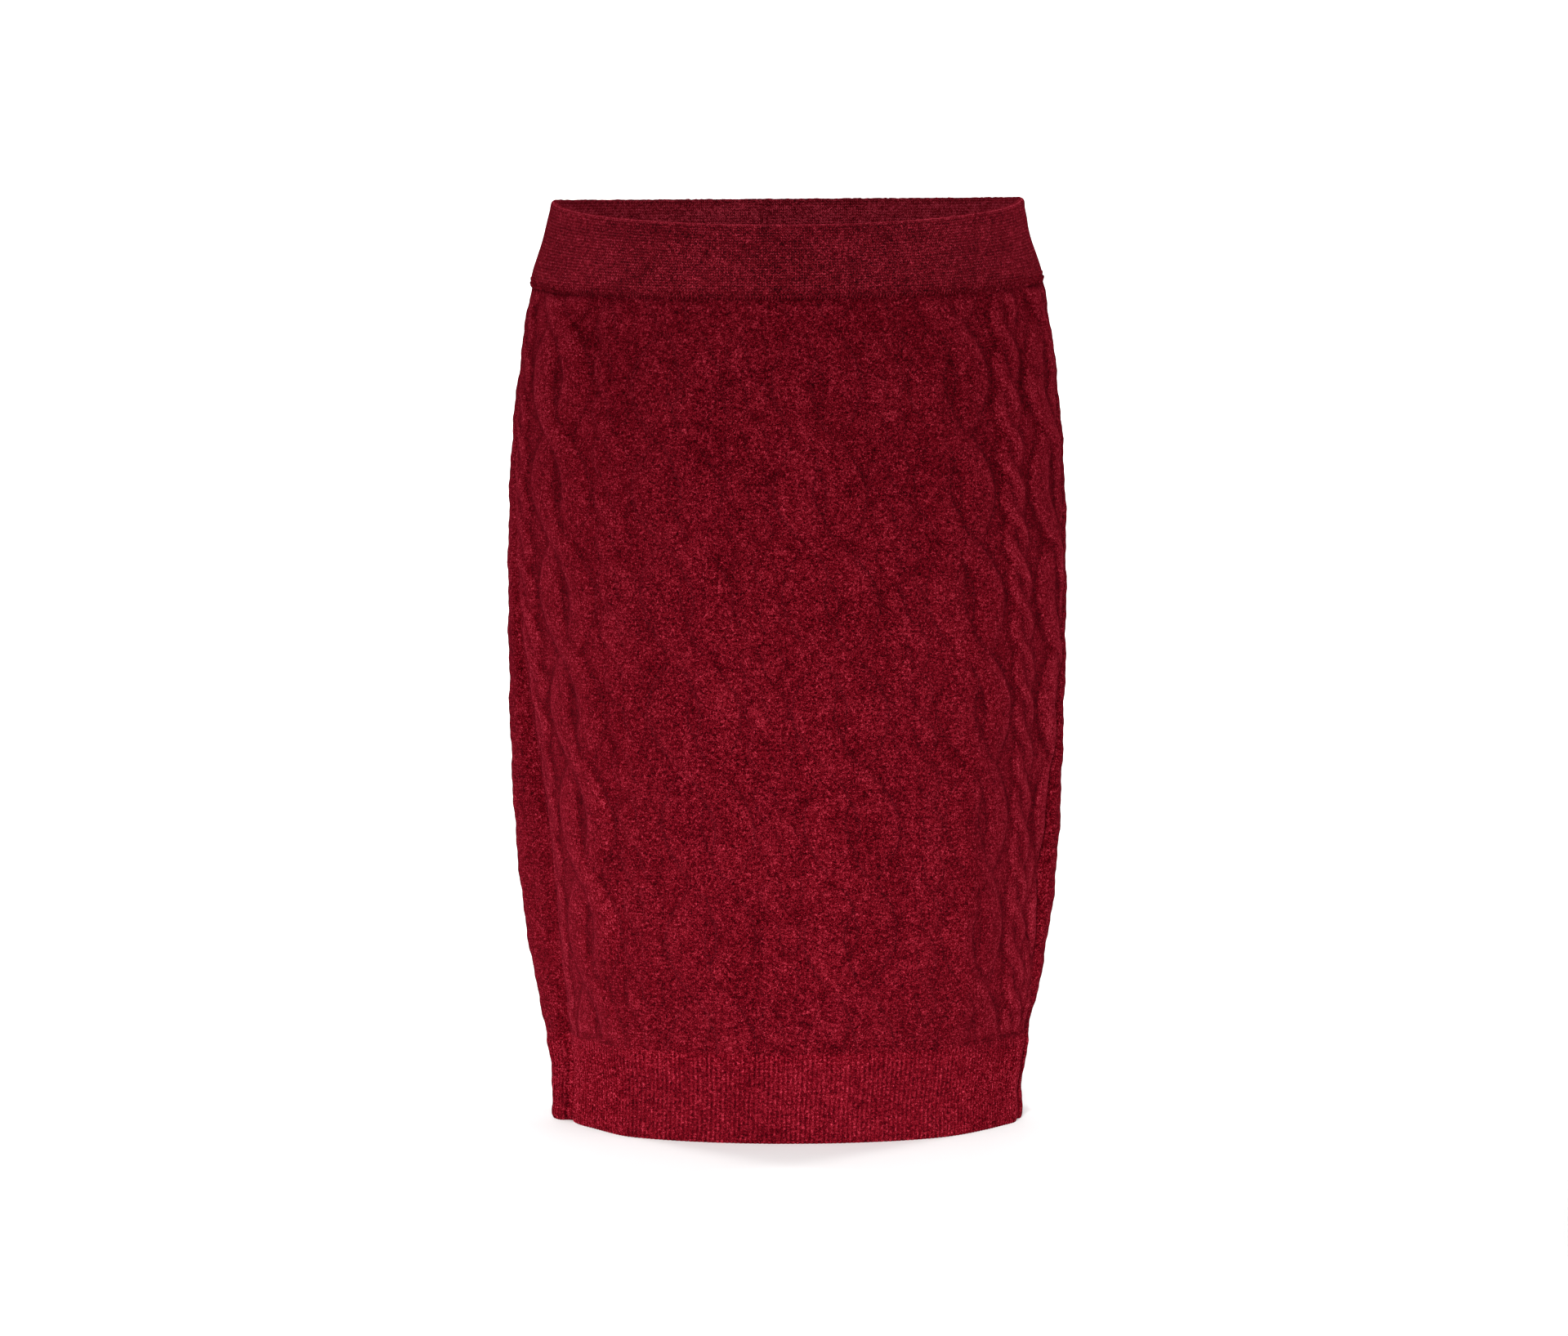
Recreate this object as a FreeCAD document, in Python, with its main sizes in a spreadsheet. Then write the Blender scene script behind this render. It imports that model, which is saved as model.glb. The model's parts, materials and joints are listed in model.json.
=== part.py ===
"""Knitted pencil skirt: cable-knit front, plain back, ribbed hem, folded waistband with elastic.

Frame: +Z up, the wearer faces -Y, and the wearer's left is +X. Z = 0 is the hem's bottom edge,
and the Z axis runs up the middle of the skirt. Millimetres.

The fabric tube is a stack of nested smooth skins. Each piece is the space between two skins, cut to
its own outline, which is drawn in the side view (the Y-Z plane) and runs straight across in X.
"""
import FreeCAD, Part
import os
import re
import Sketcher

SIZES = [
    # alias, value, meaning
    ("skirt_length", 561, "hem to top edge, at the sides and back"),
    ("band_height", 49, "waistband, at the sides and back"),
    ("front_top_dip", 14.5, "how far the top edge drops at centre front"),
    ("front_seam_dip", 8.6, "how far the waist seam drops at centre front"),
    ("rib_height", 54, "hem rib"),
    ("thigh_rise", 110, "thigh level above the hem"),
    ("hip_drop", 190, "hip level below the waist seam"),
    ("high_hip_drop", 85, "high hip level below the waist seam"),
    ("yoke_drop", 25, "yoke level below the waist seam"),
    ("hem_width", 290, "outside, side to side"),
    ("hem_depth", 208, "outside, front to back"),
    ("rib_top_width", 299, "at the top of the hem rib"),
    ("rib_top_depth", 215, "at the top of the hem rib"),
    ("thigh_width", 320, "at thigh level"),
    ("thigh_depth", 226, "at thigh level"),
    ("low_hip_width", 338, "half way from thigh to hip"),
    ("low_hip_depth", 236, "half way from thigh to hip"),
    ("hip_width", 342, "at hip level, the widest place"),
    ("hip_depth", 240, "at hip level, the deepest place"),
    ("high_hip_width", 335, "at high hip level"),
    ("high_hip_depth", 230, "at high hip level"),
    ("yoke_width", 321, "at yoke level"),
    ("yoke_depth", 214, "at yoke level"),
    ("waist_seam_width", 313, "body, at the waist seam"),
    ("waist_seam_depth", 205, "body, at the waist seam"),
    ("band_overhang", 0.2, "how far the band's lower edge stands proud of the body"),
    ("band_bulge_rise", 13, "height of the band's fullest place above the waist seam"),
    ("band_bulge_width", 307, "at the band's fullest place"),
    ("band_bulge_depth", 204, "at the band's fullest place"),
    ("band_middle_width", 294, "half way from the bulge to the top edge"),
    ("band_middle_depth", 200, "half way from the bulge to the top edge"),
    ("band_top_width", 287, "at the top edge"),
    ("band_top_depth", 198, "at the top edge"),
    ("cable_knit_thickness", 4.5, "front panel"),
    ("jersey_thickness", 2.5, "back panel"),
    ("rib_thickness", 3.5, "hem rib"),
    ("band_fabric_thickness", 2.3, "one layer of the folded band"),
    ("elastic_thickness", 1.2, "waist elastic"),
    ("elastic_clearance", 0.2, "free space on each side of the elastic"),
    ("elastic_width", 25, "waist elastic"),
    ("elastic_rise", 3, "elastic's lower edge above the waist seam, at the sides"),
    ("elastic_join_length", 12, "stitched join at centre back"),
    ("elastic_join_thickness", 0.15, "threads lying on the elastic"),
    ("stitch_margin", 1, "between a row of stitches and the edge that it runs to"),
    ("seam_hem_forward", 30, "side seam ahead of the middle, at the hem"),
    ("seam_rib_forward", 40, "side seam ahead of the middle, at the rib's top"),
    ("seam_hip_forward", 44, "side seam ahead of the middle, at the low hip"),
    ("seam_high_forward", 8, "side seam ahead of the middle, at the high hip"),
    ("seam_allowance", 6, "how far the side seam stands into the skirt"),
    ("seam_thickness", 3, "the two edges of knit sewn together"),
    ("seam_lift", 2, "side seam's end above the hem"),
    ("linking_height", 2.4, "row of linking stitches under the band"),
    ("linking_depth", 1.6, "linking stitches, in from the knit's inner face"),
    ("band_join_thickness", 0.8, "stitches on the band's inner face"),
    ("band_join_width", 3, "stitches on the band's inner face"),
    ("bartack_height", 8, "hem bartack"),
    ("bartack_width", 4, "hem bartack"),
    ("bartack_thickness", 0.8, "hem bartack"),
    ("label_width", 28, "care label, from its sewn edge inwards"),
    ("label_height", 45, "care label"),
    ("label_thickness", 0.6, "care label, a folded loop of tape"),
    ("label_drop", 0, "care label's middle below the hip level"),
    ("label_clearance", 0.3, "label's sewn edge to its stitches"),
    ("label_stitch_width", 1.6, "stitches that hold the label"),
    ("label_stitch_reach", 2, "stitches between the seam's edge and the label"),
]

WORKED_OUT = [
    # alias, formula, meaning
    ("waist_seam_height", "skirt_length - band_height", "waist seam above the hem"),
    ("hip_height", "waist_seam_height - hip_drop", "hip level"),
    ("low_hip_height", "(thigh_rise + hip_height) / 2", "low hip level"),
    ("high_hip_height", "waist_seam_height - high_hip_drop", "high hip level"),
    ("yoke_height", "waist_seam_height - yoke_drop", "yoke level"),
    ("band_bulge_height", "waist_seam_height + band_bulge_rise", "band's fullest place"),
    ("band_middle_height", "(band_bulge_height + skirt_length) / 2", "band's middle level"),
    ("band_low_height", "waist_seam_height - 2 * front_seam_dip", "below the lowest of the seam"),
    ("pocket_inset", "band_fabric_thickness", "outer face to the elastic's pocket"),
    ("pocket_depth", "elastic_thickness + 2 * elastic_clearance", "elastic's pocket"),
    ("band_thickness", "2 * band_fabric_thickness + pocket_depth", "whole folded band"),
    ("elastic_inset", "pocket_inset + elastic_clearance", "outer face to the elastic"),
    ("side_reach", "hip_width", "from the middle to well past either side"),
    ("front_reach", "hip_depth", "from the middle to well past the front and the back"),
    ("front_top_drop", "front_top_dip * front_reach / (band_top_depth / 2)", "dip, carried past it"),
    ("front_seam_drop", "front_seam_dip * front_reach / (waist_seam_depth / 2)", "dip, carried past it"),
    ("lining_inset", "max(cable_knit_thickness; jersey_thickness; rib_thickness)",
     "outer face to the innermost face of the knit"),
    ("seam_inset", "lining_inset + seam_allowance", "outer face to the seam's inner edge"),
    ("linking_inset", "lining_inset + linking_depth", "outer face to the linking's inner edge"),
    ("seam_slope", "(seam_hip_forward - seam_high_forward) / (high_hip_height - low_hip_height)",
     "side seam's lean between low hip and high hip"),
    ("label_middle", "hip_height - label_drop", "care label's middle height"),
    ("label_low", "label_middle - label_height / 2", "care label's lower end"),
    ("label_high", "label_middle + label_height / 2", "care label's upper end"),
    ("label_low_forward", "seam_hip_forward - seam_slope * (label_low - low_hip_height)", "on the seam"),
    ("label_high_forward", "seam_hip_forward - seam_slope * (label_high - low_hip_height)", "on the seam"),
    ("label_forward_share", "label_low_forward / (hip_depth / 2 - seam_inset)", "of the half depth"),
    ("label_seam_x", "(hip_width / 2 - seam_inset) * sqrt(1 - label_forward_share ^ 2)",
     "seam's inner edge beside the label's lower end"),
    ("label_edge_x", "label_seam_x - label_stitch_reach", "label's sewn edge"),
]

ALIASES = {row[0] for row in SIZES + WORKED_OUT}

BODY_LEVELS = [
    # height, width, depth
    ("0", "hem_width", "hem_depth"),
    ("rib_height", "rib_top_width", "rib_top_depth"),
    ("thigh_rise", "thigh_width", "thigh_depth"),
    ("low_hip_height", "low_hip_width", "low_hip_depth"),
    ("hip_height", "hip_width", "hip_depth"),
    ("high_hip_height", "high_hip_width", "high_hip_depth"),
    ("yoke_height", "yoke_width", "yoke_depth"),
    ("waist_seam_height", "waist_seam_width", "waist_seam_depth"),
]

BAND_LEVELS = [
    ("band_low_height", "waist_seam_width + 2 * band_overhang", "waist_seam_depth + 2 * band_overhang"),
    ("band_bulge_height", "band_bulge_width", "band_bulge_depth"),
    ("band_middle_height", "band_middle_width", "band_middle_depth"),
    ("skirt_length", "band_top_width", "band_top_depth"),
]

SIDE_SEAM = [
    # distance ahead of the middle, height
    ("seam_hem_forward", "0"),
    ("seam_rib_forward", "rib_height"),
    ("seam_hip_forward", "low_hip_height"),
    ("seam_high_forward", "high_hip_height"),
    ("0", "waist_seam_height"),
]


def fill_sheet(doc):
    """Write every driving and worked-out value to the sheet, one row each."""
    sheet = doc.addObject("Spreadsheet::Sheet", "Sizes")
    rows = [(alias, str(value), meaning) for alias, value, meaning in SIZES]
    rows += [(alias, "=" + formula, meaning) for alias, formula, meaning in WORKED_OUT]
    for number, (alias, content, meaning) in enumerate(rows, start=1):
        sheet.set(f"A{number}", alias.replace("_", " "))
        sheet.set(f"B{number}", content)
        sheet.set(f"C{number}", meaning)
        sheet.setAlias(f"B{number}", alias)
    doc.recompute()
    return sheet


def bound(formula):
    """The same formula with each alias read from the sheet."""
    return re.sub(r"[a-z_]+", lambda word: f"Sizes.{word[0]}" if word[0] in ALIASES else word[0], formula)


def skin(doc, name, levels, inset):
    """A smooth solid through an ellipse at each level, set in from the outer face by inset."""
    rings = []
    for number, (height, width, depth) in enumerate(levels, start=1):
        ring = doc.addObject("Part::Ellipse", f"{name}_ring_{number}")
        ring.setExpression("MajorRadius", bound(f"( {width} ) / 2 - ( {inset} )"))
        ring.setExpression("MinorRadius", bound(f"( {depth} ) / 2 - ( {inset} )"))
        ring.setExpression("Placement.Base.z", bound(height))
        rings.append(ring)
    loft = doc.addObject("Part::Loft", name)
    loft.Sections = rings
    loft.Solid = True
    loft.Ruled = False
    return loft


def outline(doc, name, corners):
    """A closed sketch in the side view; each corner is its distance along +Y and its height."""
    sketch = doc.addObject("Sketcher::SketchObject", name)
    sketch.Placement = FreeCAD.Placement(
        FreeCAD.Vector(0, 0, 0), FreeCAD.Rotation(FreeCAD.Vector(1, 1, 1), 120))
    places = []
    for corner in corners:
        along, height = (sketch.evalExpression(bound(formula)) for formula in corner)
        places.append(FreeCAD.Vector(along, height, 0))
    for number, place in enumerate(places):
        sketch.addGeometry(Part.LineSegment(place, places[(number + 1) % len(places)]), False)
    for number, corner in enumerate(corners):
        before = (number - 1) % len(corners)
        sketch.addConstraint(Sketcher.Constraint("Coincident", before, 2, number, 1))
        for kind, formula, value in zip(("DistanceX", "DistanceY"), corner, places[number]):
            constraint = sketch.addConstraint(Sketcher.Constraint(kind, -1, 1, number, 1, value))
            sketch.setExpression(f"Constraints[{constraint}]", bound(formula))
    return sketch


def prism(doc, name, corners, low="- side_reach", high="side_reach"):
    """A block with the outline in the side view, running across in X from low to high."""
    block = doc.addObject("Part::Extrusion", name)
    block.Base = outline(doc, f"{name}_outline", corners)
    block.DirMode = "Custom"
    block.Dir = FreeCAD.Vector(1, 0, 0)
    block.Solid = True
    block.setExpression("LengthFwd", bound(high))
    block.setExpression("LengthRev", bound(f"- ( {low} )"))
    return block


def cut(doc, name, base, tool):
    result = doc.addObject("Part::Cut", name)
    result.Base = base
    result.Tool = tool
    return result


def common(doc, name, *shapes):
    result = doc.addObject("Part::MultiCommon", name)
    result.Shapes = list(shapes)
    return result


def shell(doc, name, levels, outer_inset, inner_inset):
    """The space between two skins of the same tube."""
    outer = skin(doc, f"{name}_outer", levels, outer_inset)
    inner = skin(doc, f"{name}_inner", levels, inner_inset)
    return cut(doc, name, outer, inner)


def left_and_right(doc, name, space, corners):
    """The same outline cut out of a space on the wearer's right and on the left."""
    pieces = []
    for side, low, high in (("right", "- side_reach", "0"), ("left", "0", "side_reach")):
        strip = prism(doc, name.format(side) + "_side", corners, low, high)
        pieces.append(common(doc, name.format(side), space, strip))
    return pieces


def seam_line(shift="0"):
    """The side seam from the hem up to the waist, moved along +Y by shift."""
    return [(f"{shift} - {forward}", height) for forward, height in SIDE_SEAM]


def waist_line(rise, drop):
    """The waist seam (or a line parallel to it) from the middle out past the front."""
    return [("0", rise), ("- front_reach", f"{rise} - {drop}")]


def make_panels(doc):
    """Front and back of the body, each knitted in one go with its hem rib but kept apart from it."""
    seam = seam_line()
    above_rib = seam[1:]
    front_top = waist_line("waist_seam_height", "front_seam_drop")[1]
    front = prism(doc, "front_body_side", above_rib + [front_top, ("- front_reach", "rib_height")])
    back = prism(doc, "back_body_side", above_rib + [
        ("front_reach", "waist_seam_height"), ("front_reach", "rib_height")])
    front_hem = prism(doc, "front_hem_side", seam[:2] + [
        ("- front_reach", "rib_height"), ("- front_reach", "0")])
    back_hem = prism(doc, "back_hem_side", seam[:2] + [
        ("front_reach", "rib_height"), ("front_reach", "0")])
    cable_knit = shell(doc, "cable_knit", BODY_LEVELS, "0", "cable_knit_thickness")
    jersey = shell(doc, "jersey", BODY_LEVELS, "0", "jersey_thickness")
    rib = shell(doc, "rib", BODY_LEVELS, "0", "rib_thickness")
    return [
        common(doc, "front_panel", cable_knit, front),
        common(doc, "back_panel", jersey, back),
        common(doc, "front_hem_rib", rib, front_hem),
        common(doc, "back_hem_rib", rib, back_hem),
    ]


def make_waistband(doc):
    """Band folded outwards to inwards over the elastic: two walls, a fold on top and a pocket."""
    bottom = waist_line("waist_seam_height", "front_seam_drop")
    top = waist_line("skirt_length", "front_top_drop")
    fold = waist_line("skirt_length - band_fabric_thickness", "front_top_drop")
    front_side = prism(doc, "front_band_side", [bottom[0], top[0], top[1], bottom[1]])
    back_side = prism(doc, "back_band_side", [bottom[0], top[0], (
        "front_reach", "skirt_length"), ("front_reach", "waist_seam_height")])
    pocket_side = prism(doc, "pocket_side", [
        ("front_reach", "waist_seam_height"), bottom[0], bottom[1],
        fold[1], fold[0], ("front_reach", "skirt_length - band_fabric_thickness")])
    wall = shell(doc, "band_wall", BAND_LEVELS, "0", "band_thickness")
    gap = shell(doc, "pocket_gap", BAND_LEVELS, "pocket_inset", "pocket_inset + pocket_depth")
    pocket = common(doc, "elastic_pocket", gap, pocket_side)
    front_wall = common(doc, "front_band_wall", wall, front_side)
    back_wall = common(doc, "back_band_wall", wall, back_side)
    return [
        cut(doc, "waistband_front", front_wall, pocket),
        cut(doc, "waistband_back", back_wall, pocket),
    ]


def make_elastic(doc):
    """A loop of elastic in the band's pocket, butted at centre back and stitched over the join."""
    low = "waist_seam_height + elastic_rise"
    high = f"{low} + elastic_width"
    level = prism(doc, "elastic_level", [
        ("- front_reach", low), ("front_reach", low), ("front_reach", high), ("- front_reach", high)])
    join_low = f"{low} + stitch_margin"
    join_high = f"{high} - stitch_margin"
    join_side = prism(doc, "elastic_join_side", [
        ("0", join_low), ("front_reach", join_low), ("front_reach", join_high), ("0", join_high)],
        "- elastic_join_length / 2", "elastic_join_length / 2")
    inner_face = "elastic_inset + elastic_thickness"
    loop = shell(doc, "elastic_loop", BAND_LEVELS, "elastic_inset", inner_face)
    threads = shell(doc, "elastic_threads", BAND_LEVELS,
                    inner_face, f"{inner_face} + elastic_join_thickness")
    return [
        common(doc, "waist_elastic", loop, level),
        common(doc, "elastic_join_stitches", threads, join_side),
    ]


def make_linking(doc):
    """The row of linking stitches inside, in the step between the panels and the band."""
    top = waist_line("waist_seam_height", "front_seam_drop")
    bottom = waist_line("waist_seam_height - linking_height", "front_seam_drop")
    side = prism(doc, "linking_side", [
        ("front_reach", "waist_seam_height"), top[0], top[1], bottom[1], bottom[0],
        ("front_reach", "waist_seam_height - linking_height")])
    step = shell(doc, "linking_step", BODY_LEVELS, "lining_inset", "linking_inset")
    return common(doc, "waist_linking_seam", step, side)


def make_side_seams(doc):
    """Both side seams: the sewn edges stand into the skirt, clear of the hem and the linking."""
    behind = seam_line("seam_thickness / 2")
    ahead = seam_line("- seam_thickness / 2")
    low = "seam_lift"
    high = "waist_seam_height - linking_height"
    corners = [(behind[0][0], low)] + behind[1:-1] + [(behind[-1][0], high)]
    corners += [(ahead[-1][0], high)] + ahead[-2:0:-1] + [(ahead[0][0], low)]
    allowance = shell(doc, "seam_allowance_space", BODY_LEVELS, "lining_inset", "seam_inset")
    return left_and_right(doc, "{}_side_seam", allowance, corners)


def make_band_joins(doc):
    """Stitches up the inner face of the band where its front and back are joined."""
    low = "waist_seam_height + stitch_margin"
    high = "skirt_length - stitch_margin"
    half = "band_join_width / 2"
    corners = [(f"- {half}", low), (half, low), (half, high), (f"- {half}", high)]
    face = shell(doc, "band_join_space", BAND_LEVELS,
                 "band_thickness", "band_thickness + band_join_thickness")
    return left_and_right(doc, "waistband_{}_join", face, corners)


def make_bartacks(doc):
    """A short dense bar of thread on each side seam's edge, just above the hem."""
    low = "seam_lift + stitch_margin"
    high = f"{low} + bartack_height"
    middle = "seam_hem_forward"
    half = "bartack_width / 2"
    corners = [(f"- {middle} - {half}", low), (f"- {middle} + {half}", low),
               (f"- {middle} + {half}", high), (f"- {middle} - {half}", high)]
    face = shell(doc, "bartack_space", BODY_LEVELS, "seam_inset", "seam_inset + bartack_thickness")
    return left_and_right(doc, "{}_hem_bartack", face, corners)


def slanted_strip(half_width):
    """The care label's line up the side seam, half_width to each side of it."""
    return [(f"- label_low_forward - {half_width}", "label_low"),
            (f"- label_low_forward + {half_width}", "label_low"),
            (f"- label_high_forward + {half_width}", "label_high"),
            (f"- label_high_forward - {half_width}", "label_high")]


def make_care_label(doc, left_seam):
    """A blank label that stands in from the left side seam, and the stitches that hold it."""
    label = prism(doc, "care_label", slanted_strip("label_thickness / 2"),
                  "label_edge_x - label_width", "label_edge_x")
    bar = prism(doc, "label_stitch_bar", slanted_strip("label_stitch_width / 2"),
                "label_edge_x + label_clearance", "label_edge_x + 2 * label_stitch_reach")
    return [label, cut(doc, "care_label_stitches", bar, left_seam)]


def main():
    doc = FreeCAD.newDocument("KnittedSkirt")
    fill_sheet(doc)
    panels = make_panels(doc)
    band = make_waistband(doc)
    elastic = make_elastic(doc)
    linking = make_linking(doc)
    seams = make_side_seams(doc)
    joins = make_band_joins(doc)
    bars = make_bartacks(doc)
    label = make_care_label(doc, seams[1])
    pieces = panels + band + elastic + [linking] + seams + joins + bars + label
    doc.recompute()
    for item in doc.Objects:
        if "Invalid" in item.State or "Error" in item.State:
            raise RuntimeError(f"{item.Name} did not recompute: {item.State}")
    os.makedirs("parts", exist_ok=True)
    for piece in pieces:
        piece.Label = piece.Name
        shape = piece.Shape
        if shape.isNull() or not shape.isValid() or not shape.Solids:
            raise RuntimeError(f"{piece.Name} is not a valid solid")
        print(f"{piece.Label}: {len(shape.Solids)} solid, {shape.Volume:.0f} mm3")
    for piece in pieces:
        piece.Shape.exportStep(f"parts/{piece.Label}.step")


main()
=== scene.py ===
"""Knitted pencil skirt: the knit, its seams and its label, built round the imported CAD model. Metres."""
import json
import math

import bpy
import numpy as np
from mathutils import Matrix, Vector
from mathutils.bvhtree import BVHTree


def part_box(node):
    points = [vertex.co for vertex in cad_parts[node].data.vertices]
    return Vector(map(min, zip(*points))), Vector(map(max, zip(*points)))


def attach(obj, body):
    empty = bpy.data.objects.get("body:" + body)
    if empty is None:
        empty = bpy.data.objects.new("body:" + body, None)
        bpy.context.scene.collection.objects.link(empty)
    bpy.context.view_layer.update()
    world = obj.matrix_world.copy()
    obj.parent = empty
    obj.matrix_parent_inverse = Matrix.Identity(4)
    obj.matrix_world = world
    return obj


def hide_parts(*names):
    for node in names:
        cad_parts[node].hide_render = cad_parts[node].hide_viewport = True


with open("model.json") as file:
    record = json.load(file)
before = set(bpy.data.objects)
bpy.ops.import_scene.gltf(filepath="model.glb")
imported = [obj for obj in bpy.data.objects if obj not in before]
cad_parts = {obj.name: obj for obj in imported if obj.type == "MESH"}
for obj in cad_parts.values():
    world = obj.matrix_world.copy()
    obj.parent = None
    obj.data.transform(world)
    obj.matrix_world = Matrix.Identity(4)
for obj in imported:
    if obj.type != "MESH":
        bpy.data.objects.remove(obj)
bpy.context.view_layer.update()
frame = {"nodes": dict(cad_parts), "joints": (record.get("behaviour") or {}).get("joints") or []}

MM = 0.001
rng = np.random.default_rng(7)

# The frame's own heights, from hem to top edge.
RIB_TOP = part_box("front_hem_rib")[1].z
SIDE_SEAM_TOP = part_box("back_panel")[1].z
BAND_BOTTOM = SIDE_SEAM_TOP
BAND_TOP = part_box("waistband_back")[1].z

# Knit sizes.
WALE = 1.85 * MM
COURSE = 1.7 * MM
RIB_PITCH = 2.85 * MM
CABLE_KNIT = 3.6 * MM
JERSEY = 2.5 * MM
RIB_KNIT = 3.0 * MM
BAND_KNIT = 2.1 * MM
BAND_POCKET = 1.7 * MM
BAND_WHOLE = 2 * BAND_KNIT + BAND_POCKET
# The band's lower edge turns in and up to the linking seam, which draws its outer skin in.
TURN_IN = 2.5 * MM
TURN_UP = 6.5 * MM
DRAWN_IN = 1.1 * MM

# From the panels' outer face in to the middle of a side seam's edges, which lie inside.
SEAM_EDGES_IN = 6.2 * MM
LABEL_HALF_THICKNESS = 0.22 * MM

# Cables: every REPEAT across, one rope and one wide cable.
REPEAT = 83 * MM
FIRST_ROPE = -191 * MM
ROPE = dict(swing=5.4 * MM, strand=6.9 * MM, cross=27 * MM, rise=2.0 * MM, lift=0.22)
WIDE = dict(swing=15.5 * MM, strand=11.8 * MM, cross=67 * MM, rise=2.5 * MM, lift=0.20)
WIDE_LENS_HEIGHT = 459 * MM


# ---------------------------------------------------------------- shape of the tube

def spline(xs, ys):
    """A natural cubic through the points, as a function that takes an array."""
    xs, ys = np.array(xs, float), np.array(ys, float)
    gap = np.diff(xs)
    count = len(xs)
    system = np.eye(count)
    right = np.zeros(count)
    for i in range(1, count - 1):
        system[i, i - 1:i + 2] = gap[i - 1], 2 * (gap[i - 1] + gap[i]), gap[i]
        right[i] = 6 * ((ys[i + 1] - ys[i]) / gap[i] - (ys[i] - ys[i - 1]) / gap[i - 1])
    bend = np.linalg.solve(system, right)

    def value(x):
        x = np.clip(np.asarray(x, float), xs[0], xs[-1])
        i = np.clip(np.searchsorted(xs, x) - 1, 0, count - 2)
        left, after = x - xs[i], xs[i + 1] - x
        return ((bend[i] * after ** 3 + bend[i + 1] * left ** 3) / (6 * gap[i])
                + (ys[i] / gap[i] - bend[i] * gap[i] / 6) * after
                + (ys[i + 1] / gap[i] - bend[i + 1] * gap[i] / 6) * left)

    return value


def ease(x, low, high):
    """0 below low, 1 above high and smooth between; low may be the larger."""
    t = np.clip((np.asarray(x, float) - low) / (high - low), 0, 1)
    return t * t * (3 - 2 * t)


def outer_half_sizes(nodes, low, high, steps):
    """Half width and half depth of the CAD pieces' outer face at any height, as two splines."""
    points, polygons = [], []
    for name in nodes:
        mesh = frame["nodes"][name].data
        start = len(points)
        points += [vertex.co.copy() for vertex in mesh.vertices]
        polygons += [[start + i for i in polygon.vertices] for polygon in mesh.polygons]
    tree = BVHTree.FromPolygons(points, polygons)
    margin = 0.5 * MM
    aside = 3 * MM
    heights = np.linspace(low + margin, high - margin, steps)
    half_width = [tree.ray_cast(Vector((1, aside, z)), Vector((-1, 0, 0)))[0].x for z in heights]
    half_depth = [tree.ray_cast(Vector((aside, 1, z)), Vector((0, -1, 0)))[0].y for z in heights]
    return spline(heights, half_width), spline(heights, half_depth)


BODY_WIDTH, BODY_DEPTH = outer_half_sizes(
    ["front_panel", "back_panel", "front_hem_rib", "back_hem_rib"], 0, SIDE_SEAM_TOP, 22)
BAND_WIDTH, BAND_DEPTH = outer_half_sizes(
    ["waistband_front", "waistband_back"], BAND_BOTTOM, BAND_TOP, 9)

# The side seams, as degrees ahead of the side at heights in metres. The skirt sits a little turned,
# so the seam on the wearer's right shows more.
RIGHT_SEAM = spline([0, .085, .185, .285, .405, .510], [21, 26, 27, 17, 8, 3])
LEFT_SEAM = spline([0, .075, .110, .150, .185, .250, .405, .510], [8, 10, 15, 18, 17, 11, 7, 3])
# How strongly the pressed crease at each side still stands out, from 0 to 1.
RIGHT_CREASE = spline([0, .200, .290, .400, .510], [.9, 1, .7, .1, 0])
LEFT_CREASE = spline([0, .080, .140, .200, .290, .400, .510], [.35, .45, .9, .8, .35, .1, 0])


def wobble(z):
    """The pressed sides aren't quite straight."""
    long_wave = np.sin(z / (7.5 * MM) + 1)
    return 0.35 * MM * (long_wave + 0.7 * np.sin(z / (3.4 * MM)) + 0.4 * np.sin(z / (1.3 * MM)))


def section(z, start, end, count, spare=0, width=BODY_WIDTH, depth=BODY_DEPTH, creased=True):
    """Evenly spaced points round the tube at height z, from angle start to end, in degrees from +X.

    spare adds that many points beyond each end, at the same spacing.
    """
    past = 3
    degrees = np.linspace(start - past, end + past, 1000)
    turn = np.radians(degrees)
    across, along = np.cos(turn), np.sin(turn)
    x = width(z) * across
    y = depth(z) * along
    if creased:
        for side, strength, seam in ((-1, RIGHT_CREASE, RIGHT_SEAM), (1, LEFT_CREASE, LEFT_SEAM)):
            off_side = np.degrees(np.arccos(np.clip(side * across, -1, 1)))
            ahead = along < 0
            flat = np.where(ahead, ease(off_side, 50, 18), ease(off_side, 46, 8))
            y = y * (1 - strength(z) * np.where(ahead, 0.60, 0.42) * flat)
            groove = np.exp(-((off_side - seam(z)) / 3.6) ** 2) * ahead
            ridge = np.exp(-((off_side - seam(z) - 9) / 4.5) ** 2) * ahead
            x = x - side * (1.2 * MM + 0.9 * MM * strength(z)) * groove
            y = y + (0.6 * MM + 3.0 * MM * strength(z)) * groove - 2.4 * MM * strength(z) * ridge
            x = x + wobble(z + side) * side * ease(off_side, 40, 10)
    step = np.hypot(np.diff(x), np.diff(y))
    length = np.concatenate([[0], np.cumsum(step)])
    first, last = np.interp([start, end], degrees, length)
    extra = spare * (last - first) / (count - 1)
    at = np.linspace(first - extra, last + extra, count + 2 * spare)
    return np.interp(at, length, x), np.interp(at, length, y), last - first


def front_dip(y, deepest, half_depth):
    """How far a level line drops towards centre front."""
    return deepest * np.minimum(y, 0) / half_depth


SEAM_DIP = BAND_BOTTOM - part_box("waistband_front")[0].z
TOP_DIP = 15.4 * MM
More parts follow.
